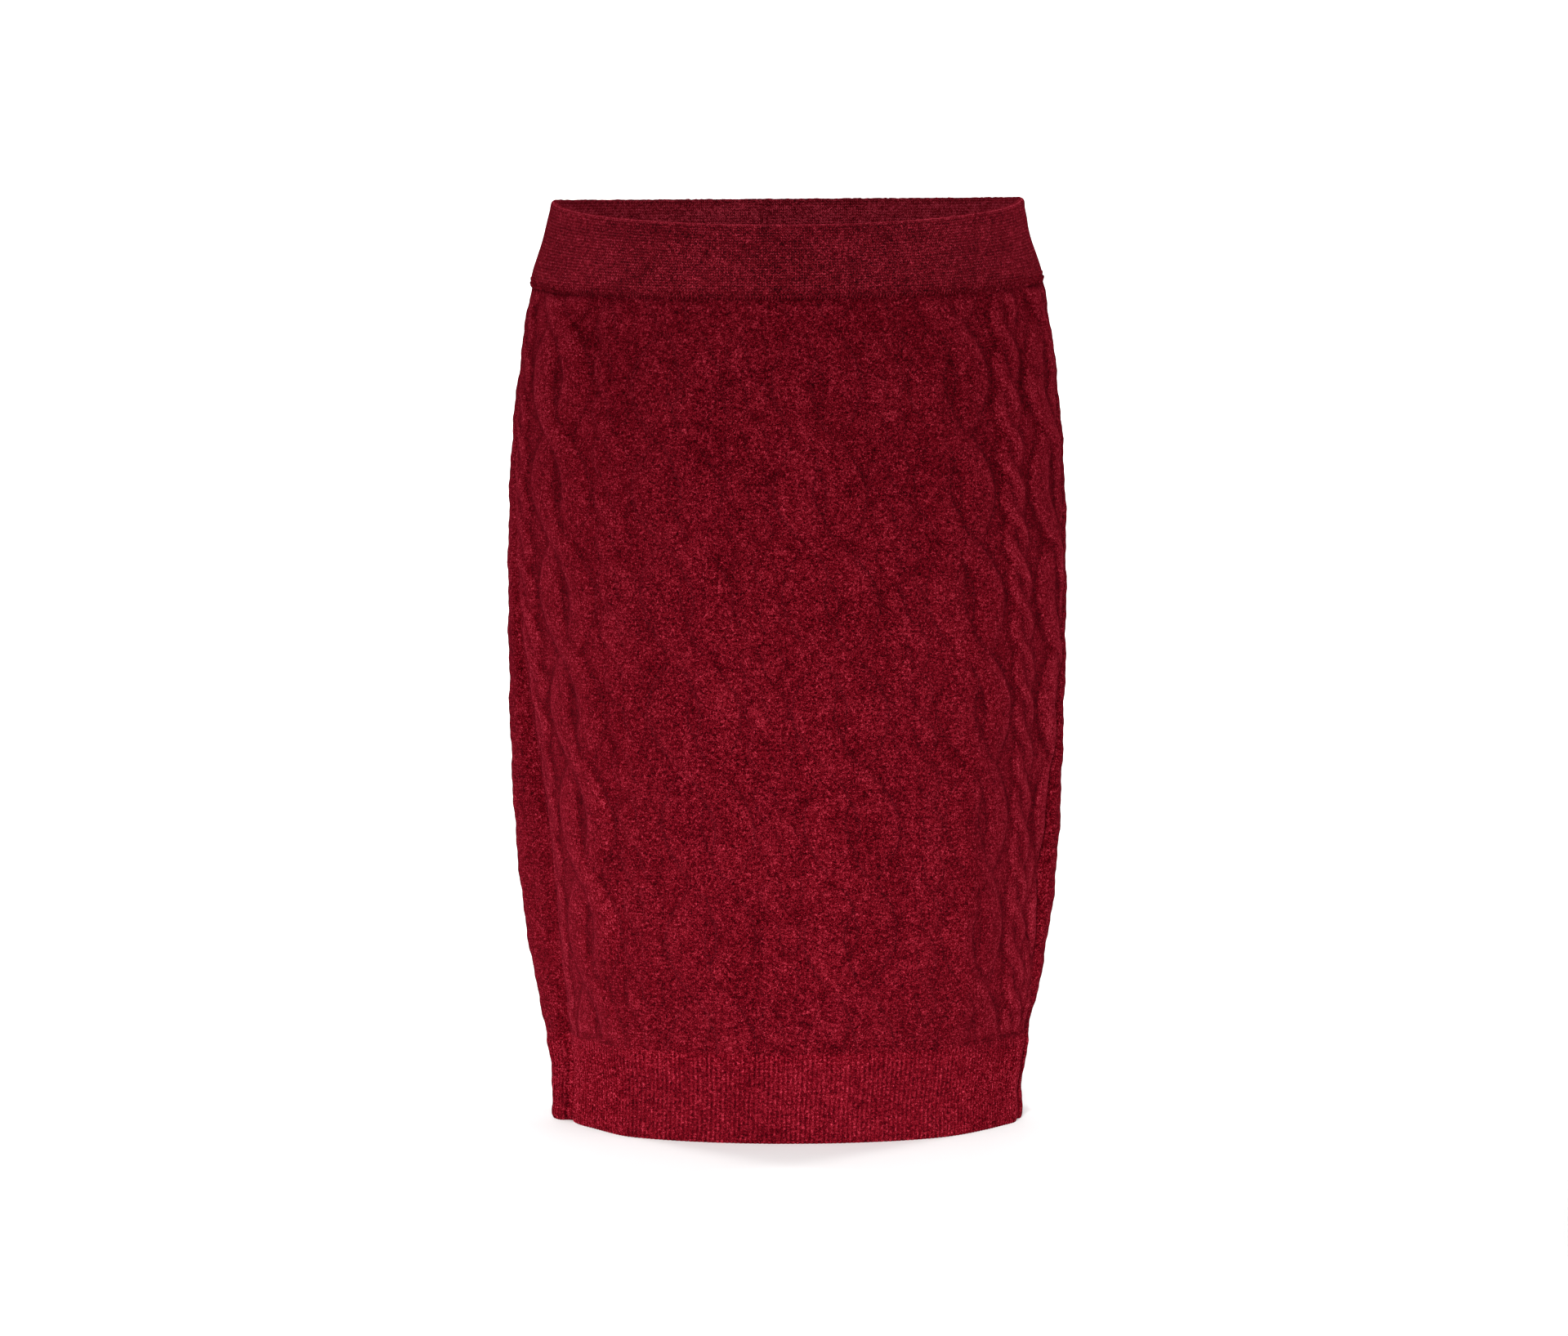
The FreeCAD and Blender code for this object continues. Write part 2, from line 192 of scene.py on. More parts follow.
# The band hangs a little higher on the wearer's left.
SEAM_TILT = 1.9 * MM
TOP_TILT = 0.9 * MM


def tube_grid(start, end, low, high, rows, columns):
    """Grid of points (rows from low to high), the outward normals and each row's length round."""
    grid = np.zeros((rows, columns + 2, 3))
    lengths = np.zeros(rows)
    for row, z in enumerate(np.linspace(low, high, rows)):
        x, y, lengths[row] = section(z, start(z), end(z), columns, spare=1)
        rise = front_dip(y, SEAM_DIP, BODY_DEPTH(z)) + SEAM_TILT * x / BODY_WIDTH(z)
        grid[row] = np.stack([x, y, z + rise * ease(z, 0.30, SIDE_SEAM_TOP)], -1)
    return grid[:, 1:-1], outward(grid)[:, 1:-1], lengths


def outward(grid):
    """Unit normals of a grid whose columns run anticlockwise seen from above and rows run up."""
    along = np.gradient(grid, axis=1)
    up = np.gradient(grid, axis=0)
    normal = np.cross(along, up)
    return normal / np.linalg.norm(normal, axis=2, keepdims=True)


def blur(field, reach):
    """The field softened over reach cells each way."""
    offsets = np.arange(-3 * math.ceil(reach), 3 * math.ceil(reach) + 1)
    weights = np.exp(-0.5 * (offsets / reach) ** 2)
    weights /= weights.sum()
    for axis in (0, 1):
        padded = np.pad(field, [(len(offsets) // 2,) * 2 if a == axis else (0, 0) for a in (0, 1)], "edge")
        field = sum(w * np.take(padded, range(i, i + field.shape[axis]), axis)
                    for i, w in enumerate(weights))
    return field


def waviness(rows, columns, row_reach, column_reach, height):
    """Smooth random bumps of about the given height, the same each run."""
    coarse = rng.normal(size=(rows // row_reach + 3, columns // column_reach + 3))
    r = np.linspace(0, coarse.shape[0] - 1.001, rows)
    c = np.linspace(0, coarse.shape[1] - 1.001, columns)
    ri, ci = r.astype(int), c.astype(int)
    rf, cf = ease(r - ri, 0, 1)[:, None], ease(c - ci, 0, 1)[None, :]
    a, b = coarse[ri][:, ci], coarse[ri][:, ci + 1]
    d, e = coarse[ri + 1][:, ci], coarse[ri + 1][:, ci + 1]
    return height * ((a * (1 - cf) + b * cf) * (1 - rf) + (d * (1 - cf) + e * cf) * rf)


# ---------------------------------------------------------------- cables

def cable(across, height, centre, kind, phase_height):
    """Relief of one two-strand cable, and the place across the strand that shows."""
    swing, strand, rise, lift = kind["swing"], kind["strand"], kind["rise"], kind["lift"]
    best = np.full(across.shape, -1.0)
    place = across - centre
    for turn in (0, math.pi):
        phase = math.pi * (height - phase_height) / kind["cross"] + turn
        away = across - centre - swing * np.cos(phase)
        crown = np.sqrt(np.clip(1 - (away / strand) ** 2, 0, 1))
        relief = crown * (1 - lift + lift * np.sin(phase)) - (crown <= 0)
        place = np.where(relief > best, away, place)
        best = np.maximum(best, relief)
    return np.clip(best, 0, 1) * rise, place


def cable_relief(across, height):
    """Relief of the whole front, and the fabric coordinate that its stitches follow."""
    relief = np.zeros(across.shape)
    stitches = across.copy()
    for number in range(-1, 6):
        rope_at = FIRST_ROPE + REPEAT * number
        for centre, kind, phase in ((rope_at, ROPE, number * 9 * MM),
                                    (rope_at + REPEAT / 2, WIDE, WIDE_LENS_HEIGHT)):
            rise, place = cable(across, height, centre, kind, phase)
            shown = rise > relief
            relief = np.where(shown, rise, relief)
            stitches = np.where(shown, centre + place, stitches)
    return relief, stitches


# ---------------------------------------------------------------- meshes

def new_piece(name, points, faces, body="skirt", smooth_angle=50):
    mesh = bpy.data.meshes.new(name)
    mesh.from_pydata([tuple(p) for p in points], [], faces)
    mesh.validate()
    mesh.shade_smooth()
    if smooth_angle:
        mesh.set_sharp_from_angle(angle=math.radians(smooth_angle))
    piece = bpy.data.objects.new(name, mesh)
    bpy.context.scene.collection.objects.link(piece)
    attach(piece, body)
    return piece


def give(piece, name, values):
    """A number at each of the mesh's points, for its material."""
    attribute = piece.data.attributes.new(name, "FLOAT", "POINT")
    filled = np.zeros(len(piece.data.vertices), np.float32)
    filled[:len(values)] = values
    attribute.data.foreach_set("value", filled)


def grid_faces(rows, columns, start=0, flip=False):
    index = start + np.arange(rows * columns).reshape(rows, columns)
    quads = np.stack([index[:-1, :-1], index[:-1, 1:], index[1:, 1:], index[1:, :-1]], -1).reshape(-1, 4)
    if flip:
        quads = quads[:, ::-1]
    return quads.tolist()


def sheet_piece(name, grid, normals, relief, thickness, ratio, body="skirt"):
    """A closed sheet of knit: a fine outer face, a plain inner face with 1/ratio the cells, and rims."""
    rows, columns = grid.shape[:2]
    outer = grid + normals * relief[..., None]
    inner_rows, inner_columns = np.arange(0, rows, ratio), np.arange(0, columns, ratio)
    inner = (grid - normals * thickness)[inner_rows][:, inner_columns]
    start = rows * columns
    faces = grid_faces(rows, columns) + grid_faces(len(inner_rows), len(inner_columns), start, True)
    wide = len(inner_columns)

    def outer_at(row, column):
        return row * columns + column

    def inner_at(row, column):
        return start + row * wide + column

    for k in range(len(inner_columns) - 1):
        span = range(k * ratio, (k + 1) * ratio + 1)
        for row, inner_row, forward in ((0, 0, True), (rows - 1, len(inner_rows) - 1, False)):
            rim = [outer_at(row, c) for c in span][::-1] + [
                inner_at(inner_row, k), inner_at(inner_row, k + 1)]
            faces.append(rim if forward else rim[::-1])
    for k in range(len(inner_rows) - 1):
        span = range(k * ratio, (k + 1) * ratio + 1)
        for column, inner_column, forward in ((0, 0, False), (columns - 1, wide - 1, True)):
            rim = [outer_at(r, column) for r in span][::-1] + [
                inner_at(k, inner_column), inner_at(k + 1, inner_column)]
            faces.append(rim if forward else rim[::-1])
    points = np.concatenate([outer.reshape(-1, 3), inner.reshape(-1, 3)])
    return new_piece(name, points, faces, body)


def front_start(z):
    return 180 + RIGHT_SEAM(z)


def front_end(z):
    return 360 - LEFT_SEAM(z)


def back_start(z):
    return -LEFT_SEAM(z)


def back_end(z):
    return 180 + RIGHT_SEAM(z)


# Distance across the front's pattern at its two edges, at heights in metres: the panel is shaped at
# its edges, so the pattern runs straight and the edges cut into it.
PATTERN_LEFT_EDGE = spline([0, .085, .185, .285, .510], [-.195, -.198, -.203, -.205, -.205])
PATTERN_RIGHT_EDGE = spline([0, .085, .185, .285, .405, .510], [.168, .170, .176, .190, .205, .203])

# How far the outer face is set in where the panels meet the ribs, and where the side seams are.
RIB_INSET = -1.7 * MM
SEAM_INSET = -2.4 * MM


def mix(first, second, share):
    return first * (1 - share) + second * share


def painted_ridge_sheen(edge, heights):
    """Painted sheen: paler along the ridge beside each seam, where the brushed pile would catch the light.
    """
    strength = np.maximum(RIGHT_CREASE(heights), LEFT_CREASE(heights))
    return 0.45 * strength * np.exp(-((edge - 13 * MM) / (7 * MM)) ** 2)


def edge_tuck(rows, columns, cells, depth):
    """Rows near the top sink into the linking seam."""
    row = np.arange(rows)[:, None]
    return -depth * ease(row, rows - 1 - cells, rows - 1) * np.ones((1, columns))


def make_front_panel():
    ratio, rows, columns = 8, 8 * 40 + 1, 8 * 36 + 1
    grid, normals, lengths = tube_grid(front_start, front_end, RIB_TOP, SIDE_SEAM_TOP, rows, columns)
    heights = np.linspace(RIB_TOP, SIDE_SEAM_TOP, rows)[:, None] * np.ones((1, columns))
    share = np.linspace(0, 1, columns)[None, :]
    left, right = PATTERN_LEFT_EDGE(heights), PATTERN_RIGHT_EDGE(heights)
    across = left + share * (right - left)
    drift = waviness(rows, columns, 60, 60, 1.1 * MM)
    relief, stitches = cable_relief(across + drift, heights + waviness(rows, columns, 50, 50, 1.5 * MM))
    fade = ease(heights, RIB_TOP, RIB_TOP + 9 * MM) * ease(heights, SIDE_SEAM_TOP, SIDE_SEAM_TOP - 6 * MM)
    edge = np.minimum(across - left, right - across)
    fade = fade * ease(edge, 0.5 * MM, 5 * MM)
    slack = ease(np.abs(across + 10 * MM), 85 * MM, 150 * MM)
    relief = blur(relief * fade * (0.8 + 0.45 * slack), 0.7)
    depth = blur(relief, 2.2)
    surface = relief - 2.1 * MM - 0.5 * MM * slack + waviness(rows, columns, 26, 26, 0.22 * MM)
    surface = mix(surface, RIB_INSET, ease(heights, RIB_TOP + 20 * MM, RIB_TOP))
    surface = surface + edge_tuck(rows, columns, 3, 0.4 * MM)
    surface = mix(surface, SEAM_INSET, ease(edge, 4 * MM, 0))
    panel = sheet_piece("front_panel_cable_knit", grid, normals, surface, CABLE_KNIT, ratio)
    give(panel, "wale", (stitches / WALE).ravel())
    give(panel, "course", (heights / COURSE).ravel())
    # Painted shade in the crevices between the cables, stronger towards the sides, and painted sheen along
    # the seam ridges, held in the height attribute.
    painted_crevice_shade = (relief - depth) / (1.1 * MM) * (0.45 + 1.0 * slack)
    give(panel, "height", np.clip(0.5 + painted_crevice_shade + painted_ridge_sheen(edge, heights), 0, 1).ravel())
    panel["flat"] = (float(lengths.max()), SIDE_SEAM_TOP - RIB_TOP)
    return panel


def make_back_panel():
    ratio, rows, columns = 6, 6 * 34 + 1, 6 * 48 + 1
    grid, normals, lengths = tube_grid(back_start, back_end, RIB_TOP, SIDE_SEAM_TOP, rows, columns)
    heights = np.linspace(RIB_TOP, SIDE_SEAM_TOP, rows)[:, None] * np.ones((1, columns))
    across = np.linspace(0, 1, columns)[None, :] * lengths[:, None]
    surface = waviness(rows, columns, 24, 24, 0.3 * MM) - 0.7 * MM
    surface = mix(surface, RIB_INSET, ease(heights, RIB_TOP + 30 * MM, RIB_TOP))
    surface = surface + edge_tuck(rows, columns, 4, 0.6 * MM)
    from_edge = np.minimum(across, lengths[:, None] - across)
    surface = mix(surface, SEAM_INSET, ease(from_edge, 4 * MM, 0))
    panel = sheet_piece("back_panel_jersey", grid, normals, surface, JERSEY, ratio)
    give(panel, "wale", (across / WALE).ravel())
    give(panel, "course", (heights / COURSE).ravel())
    give(panel, "height", np.full(rows * columns, 0.5))
    panel["flat"] = (float(lengths.max()), SIDE_SEAM_TOP - RIB_TOP)
    return panel


def make_hem_rib(name, start, end):
    ratio, rows = 8, 8 * 3 + 1
    length = section(RIB_TOP / 2, start(0.03), end(0.03), 9)[2]
    ribs = round(length / RIB_PITCH)
    columns = ribs * ratio + 1
    grid, normals, lengths = tube_grid(start, end, 0, RIB_TOP, rows, columns)
    share = np.linspace(0, ribs, columns)[None, :]
    heights = np.linspace(0, RIB_TOP, rows)[:, None] * np.ones((1, columns))
    ridge = 0.5 - 0.5 * np.cos(2 * math.pi * share)
    ridge = ridge ** 0.8 * np.ones((rows, 1))
    strength = 0.55 + 0.45 * ease(heights, RIB_TOP, RIB_TOP - 12 * MM)
    relief = ridge * strength * 0.85 * MM - 1.3 * MM
    relief = relief + waviness(rows, columns, 12, 60, 0.2 * MM)
    relief = mix(relief, RIB_INSET + 0.3 * MM * (ridge - 0.5), ease(heights, RIB_TOP - 8 * MM, RIB_TOP))
    edge = np.minimum(share, ribs - share) * RIB_PITCH
    relief = mix(relief, SEAM_INSET, ease(edge, 4 * MM, 0))
    edge_round = 1.1 * MM * (1 - np.sqrt(np.clip(heights / (2.2 * MM), 0, 1)))
    relief = relief - edge_round
    rib = sheet_piece(name, grid, normals, relief, RIB_KNIT, ratio)
    give(rib, "wale", np.broadcast_to(share * 2, (rows, columns)).ravel())
    give(rib, "course", (heights / COURSE).ravel())
    # Painted shade in the valleys between the ribs, and on the front rib painted sheen beside the seams,
    # held in the height attribute.
    light = painted_ridge_sheen(edge, heights) if name.startswith("front") else 0
    give(rib, "height", np.clip(ridge + light, 0, 1.6).ravel())
    rib["flat"] = (float(lengths.max()), RIB_TOP)
    return rib


# ---------------------------------------------------------------- waistband

def band_levels(turn):
    """Bottom and top heights of the band at an angle round it, in radians."""
    ahead = np.minimum(np.sin(turn), 0)
    tilt = np.cos(turn)
    return (BAND_BOTTOM + SEAM_DIP * ahead + SEAM_TILT * tilt,
            BAND_TOP + TOP_DIP * ahead + TOP_TILT * (1 + tilt))


def on_band(turn, height, inset):
    """A point on the band's outer skin at an angle and a height, moved in by inset."""
    wide, deep = BAND_WIDTH(height), BAND_DEPTH(height)
    x, y = np.cos(turn), np.sin(turn)
    nx, ny = x / wide, y / deep
    size = np.hypot(nx, ny)
    return np.stack([x * wide - nx / size * inset, y * deep - ny / size * inset,
                     height + 0 * x], -1)


def band_profile():
    """The folded band's cut section as (inset, share of the height, extra height), outside first."""
    radius = BAND_WHOLE / 2
    points = [(TURN_IN * (1 - math.sin(a)), 0, TURN_UP * (1 - math.cos(a)))
              for a in np.linspace(0.1, math.pi / 2, 6)]
    points += [(0, s, TURN_UP * (1 - s) - radius * s) for s in np.linspace(0.03, 1, 32)]
    points += [(radius - radius * math.cos(a), 1, -radius + radius * math.sin(a))
               for a in np.linspace(0, math.pi, 13)[1:-1]]
    points += [(BAND_WHOLE, s, -radius * s) for s in np.linspace(1, 0, 26)]
    points += [(BAND_WHOLE - BAND_KNIT, s, -(BAND_KNIT + 1 * MM) * s) for s in np.linspace(0, 1, 8)]
    points += [(BAND_KNIT, s, -(BAND_KNIT + 1 * MM) * s) for s in np.linspace(1, 0.02, 8)]
    return points


def make_waistband(name, start, end, columns):
    turn = np.radians(np.linspace(start, end, columns))
    low, high = band_levels(turn)
    profile = band_profile()
    wave = waviness(len(profile), columns, 12, 20, 0.25 * MM)
    uneven = rng.normal(scale=0.12 * MM, size=columns)
    layers, path = [], [0.0]
    for row, (inset, share, extra) in enumerate(profile):
        height = low + (high - low) * share + extra + uneven * (share > 0.99) * (extra > -1.5 * MM)
        drawn = DRAWN_IN * max(1 - inset / BAND_KNIT, 0) * ease(share, 0.8, 0.35)
        uneven_skin = wave[row] * (1 - inset / BAND_WHOLE) * ease(share, 0, 0.3)
        layers.append(on_band(turn, height, inset + drawn + uneven_skin))
        if row:
            path.append(path[-1] + float(np.linalg.norm(layers[-1] - layers[-2], axis=1).mean()))
    grid = np.array(layers)
    rows = len(profile)
    faces = grid_faces(rows, columns)
    last = (rows - 1) * columns
    faces += [[last + c, last + c + 1, c + 1, c] for c in range(columns - 1)]
    faces.append([r * columns for r in range(rows)])
    faces.append([r * columns + columns - 1 for r in range(rows)][::-1])
    band = new_piece(name, grid.reshape(-1, 3), faces)
    mid_row, fold_row = 20, 41
    round_length = np.concatenate([[0], np.cumsum(np.linalg.norm(np.diff(grid[mid_row], axis=0), axis=1))])
    wale = np.broadcast_to(round_length / WALE, (rows, columns))
    course = np.broadcast_to(np.array(path)[:, None] / COURSE, (rows, columns))
    give(band, "wale", wale.ravel())
    give(band, "course", course.ravel())
    past_fold = np.array(path)[:, None] - path[fold_row]
    # Painted light in the height attribute: a painted highlight along the top fold, and the inner face
    # painted lighter to stand in for the light that reaches it.
    fold_highlight_width = 0.9 * MM
    painted_fold_highlight = np.exp(-(past_fold / fold_highlight_width) ** 2) * np.ones((1, columns))
    inside = ease(past_fold, 4 * MM, 8 * MM)
    give(band, "height", (0.5 + 0.22 * inside + 0.35 * painted_fold_highlight).ravel())
    band["flat"] = (float(round_length[-1]), 2 * float((high - low).mean()))
    return band


# ---------------------------------------------------------------- yarn and thread

def capsule(points, faces, middle, direction, out, length, thickness, sides=6):
    """Adds one short fat stitch leg, flattened a little against the cloth."""
    direction = direction / np.linalg.norm(direction)
    out = out - direction * np.dot(out, direction)
    out /= np.linalg.norm(out)
    across = np.cross(direction, out)
    start = len(points)
    rings = [(-0.5, 0.35), (-0.34, 0.85), (0, 1), (0.34, 0.85), (0.5, 0.35)]
    for along, size in rings:
        for k in range(sides):
            a = 2 * math.pi * k / sides
            points.append(middle + direction * along * length
                          + (across * math.cos(a) + out * 0.8 * math.sin(a)) * size * thickness / 2)
    for ring in range(len(rings) - 1):
        for k in range(sides):
            a, b = start + ring * sides + k, start + ring * sides + (k + 1) % sides
            faces.append([a, b, b + sides, a + sides])
    faces.append([start + k for k in range(sides)][::-1])
    faces.append([start + (len(rings) - 1) * sides + k for k in range(sides)])


def tube_strip(points, faces, line, out, across, half_out, half_across, pitch, sides=10):
    """Adds a rounded strip along a line of points, scalloped every pitch by its stitches."""
    start = len(points)
    travelled = 0.0
    for i, place in enumerate(line):
        if i:
            travelled += float(np.linalg.norm(line[i] - line[i - 1]))
        swell = 1 + 0.10 * math.cos(2 * math.pi * travelled / pitch)
        for k in range(sides):
            a = 2 * math.pi * k / sides
            c, s = math.cos(a), math.sin(a)
            points.append(place + out[i] * half_out * swell * math.copysign(abs(s) ** 0.7, s)
                          + across[i] * half_across * swell * math.copysign(abs(c) ** 0.7, c))
    for i in range(len(line) - 1):
        for k in range(sides):
            a, b = start + i * sides + k, start + i * sides + (k + 1) % sides
            faces.append([a, b, b + sides, a + sides])
    faces.append([start + k for k in range(sides)][::-1])
    faces.append([start + (len(line) - 1) * sides + k for k in range(sides)])


def make_linking_row():
    """The row of big stitches along the band's lower edge, and the chain inside it."""
    points, faces = [], []
    seam_length = section(BAND_BOTTOM - MM, 0, 360, 9, creased=False)[2]
    count = round(seam_length / (2 * WALE)) * 2
    fine = np.linspace(0, 2 * math.pi, 3000)
    ring = on_band(fine, band_levels(fine)[0] + 2 * MM, 0)
    travelled = np.concatenate([[0], np.cumsum(np.linalg.norm(np.diff(ring, axis=0), axis=1))])
    turns = np.interp(np.linspace(0, travelled[-1], count, endpoint=False), travelled, fine)
    # The two rows, in mm: height above the band's lower edge, depth into it, and each leg's size.
    for rise, inset, length, thickness in ((0.3, 1.3, 3.0, 1.3), (3.2, 1.35, 2.4, 1.15)):
        for turn in turns:
            height = float(band_levels(turn)[0]) + rise * MM
            place = on_band(np.array(turn), height, inset * MM)
            out = on_band(np.array(turn), height, -1 * MM) - place
            side = np.array([-math.sin(turn), math.cos(turn), 0])
            lean = (np.array([0, 0, 1]) + side * rng.uniform(-0.15, 0.3)
                    + out / np.linalg.norm(out) * rng.uniform(0.05, 0.35))
            capsule(points, faces, place, lean, out, length * MM * rng.uniform(0.8, 1.15),
                    thickness * MM * rng.uniform(0.9, 1.05))
    wide, deep = BODY_WIDTH(BAND_BOTTOM), BODY_DEPTH(BAND_BOTTOM)
    line, outs = [], []
    for turn in np.linspace(0, 2 * math.pi, 360):
        normal = np.array([math.cos(turn) / wide, math.sin(turn) / deep, 0])
        normal /= np.linalg.norm(normal)
        chain_height = float(band_levels(turn)[0]) - 1.3 * MM
        edge = np.array([wide * math.cos(turn), deep * math.sin(turn), chain_height])
        line.append(edge - normal * 5.3 * MM)
        outs.append(normal)
    ups = [np.array([0, 0, 1.0])] * len(line)
    tube_strip(points, faces, line, outs, ups, 0.9 * MM, 1.1 * MM, 2 * WALE)
    return new_piece("waist_linking_stitches", points, faces, smooth_angle=0)


def seam_path(left, low, high, count):
    """Points up a side seam's line, with the outward and the sideways directions there."""
    rows = []
    for z in np.linspace(low, high, count):
        x, y, _ = section(z, front_start(z), front_end(z), 80)
        i, j = (-1, -2) if left else (0, 1)
        rows.append(((x[i], y[i], z), (x[j] - x[i], y[j] - y[i], 0)))
    line = np.array([r[0] for r in rows])
    towards_front = np.array([r[1] for r in rows])
    towards_front /= np.linalg.norm(towards_front, axis=1, keepdims=True)
    side = 1 if left else -1
    out = np.stack([-side * towards_front[:, 1], side * towards_front[:, 0], 0 * line[:, 2]], 1)
    return line, out * np.sign((out * line).sum(1))[:, None], towards_front


def make_side_seam(name, left):
    """The two knit edges sewn together inside, with the overlocked edge's scallops."""
    line, out, ahead = seam_path(left, 2 * MM, BAND_BOTTOM - 3 * MM, 300)
    points, faces = [], []
    tube_strip(points, faces, line - out * SEAM_EDGES_IN, out, ahead, 3.2 * MM, 1.3 * MM, 2.6 * MM, 14)
    return new_piece(name, points, faces, smooth_angle=60)


def make_bartack(name, left):
    """Dense thread across the seam's edge, just above the hem."""
    line, out, ahead = seam_path(left, 3 * MM, 11 * MM, 9)
    points, faces = [], []
    for place, outward_here, ahead_here in zip(line, out, ahead):
        for sign in (-1, 1):
            lean = ahead_here + np.array([0, 0, 0.25 * sign])
            capsule(points, faces, place - outward_here * 9.6 * MM, lean, -outward_here, 4.0 * MM, 0.6 * MM)
    return new_piece(name, points, faces, smooth_angle=0)


def make_band_join(name, side):
    """Ladder of stitches up the inner face of the band, where its halves meet."""
    turn = np.array(0.0 if side > 0 else math.pi)
    points, faces = [], []
    heights = np.arange(BAND_BOTTOM + 2 * MM, BAND_TOP - 3 * MM, 1.7 * MM)
    for number, height in enumerate(heights):
        place = on_band(turn, height, BAND_WHOLE + 0.35 * MM)
        lean = np.array([0, 1.0, 0.5 if number % 2 else -0.5])
        capsule(points, faces, place, lean, np.array([-side, 0, 0.0]), 2.8 * MM, 0.65 * MM)
    return new_piece(name, points, faces, smooth_angle=0)


def label_hinge():
    """A point on the label's hinge, and the edge that is sewn there as a vector from end to end."""
    low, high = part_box("care_label")
    joint = frame["joints"][0]
    axis = np.array(joint["axis"])
    return np.array(joint["pos_m"]), axis * (high.z - low.z - 0.2 * MM) / axis[2]


def make_care_label():
    """A blank loop of satin tape, folded at its free end, that curls away from the front panel."""
    low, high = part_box("care_label")
    hinge, sewn_edge = label_hinge()
    reach = high.x - low.x
    half = LABEL_HALF_THICKNESS
    columns, rows = 26, 24
    loop = []
    for s in np.linspace(0, 1, columns):
        loop.append((s, half))
    for a in np.linspace(math.pi / 2, -math.pi / 2, 7)[1:-1]:
        loop.append((1 + 0.012 * math.cos(a), half * math.sin(a)))
    for s in np.linspace(1, 0, columns):
        loop.append((s, -half))
    points, faces = [], []
    for v in np.linspace(-0.5, 0.5, rows):
        for s, offset in loop:
            wave = 1.1 * MM * math.sin(math.pi * s * 0.8) * (1 + 0.5 * math.sin(5 * v + 1))
            curl = wave + 2.6 * MM * s ** 3
            droop = 0.5 * MM * s * s
            points.append(hinge + sewn_edge * v + np.array([-s * reach, curl + offset, -droop]))
    around = len(loop)
    for r in range(rows - 1):
        for k in range(around):
            a, b = r * around + k, r * around + (k + 1) % around
            faces.append([a, b, b + around, a + around])
    faces.append(list(range(around))[::-1])
    faces.append([(rows - 1) * around + k for k in range(around)])
    label = new_piece("blank_care_label", points, faces, body="care_label", smooth_angle=40)
    label["flat"] = (reach, float(sewn_edge[2]))
    return label


def label_margin_lines():
    """The fixed margin's edge by the hinge, its edge caught in the seam, and the way its faces look."""
    low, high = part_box("care_label")
    hinge, sewn_edge = label_hinge()
    count = 24
    line, out, _ = seam_path(True, low.z, high.z, count)
    caught = line - out * SEAM_EDGES_IN
    near = hinge + sewn_edge * np.linspace(-0.5, 0.5, count)[:, None]
    reach = (caught - near) * [1, 1, 0]
    reach /= np.linalg.norm(reach, axis=1, keepdims=True)
    side = reach[:, [1, 0, 2]] * [-1, 1, 0]
    swing_room = 0.95 * MM
    return near + reach * swing_room, caught, side


def make_label_margin():
    """The fixed strip of the label's tape, between its free part and the seam."""
    near, caught, side = label_margin_lines()
    out = side * LABEL_HALF_THICKNESS
    points = np.stack([near + out, near - out, caught - out, caught + out], 1)
    count = len(near)
    faces = [[r * 4 + k, r * 4 + (k + 1) % 4, r * 4 + 4 + (k + 1) % 4, r * 4 + 4 + k]
             for r in range(count - 1) for k in range(4)]
    faces += [[3, 2, 1, 0], [(count - 1) * 4 + k for k in range(4)]]
    return new_piece("care_label_sewn_margin", points.reshape(-1, 3), faces, smooth_angle=40)


def make_label_stitches():
    """A row of stitches on each face of the label's margin, beside the seam."""
    near, caught, side = label_margin_lines()
    points, faces = [], []
    for place, seam, across in list(zip(near, caught, side))[1:-1:2]:
        for face in (-1, 1):
            capsule(points, faces, place + (seam - place) * 0.45 + across * face * 0.3 * MM,
                    np.array([0, 0, 1.0]), across * face, 2.9 * MM, 0.5 * MM)
    return new_piece("care_label_thread", points, faces, smooth_angle=0)


# ---------------------------------------------------------------- materials

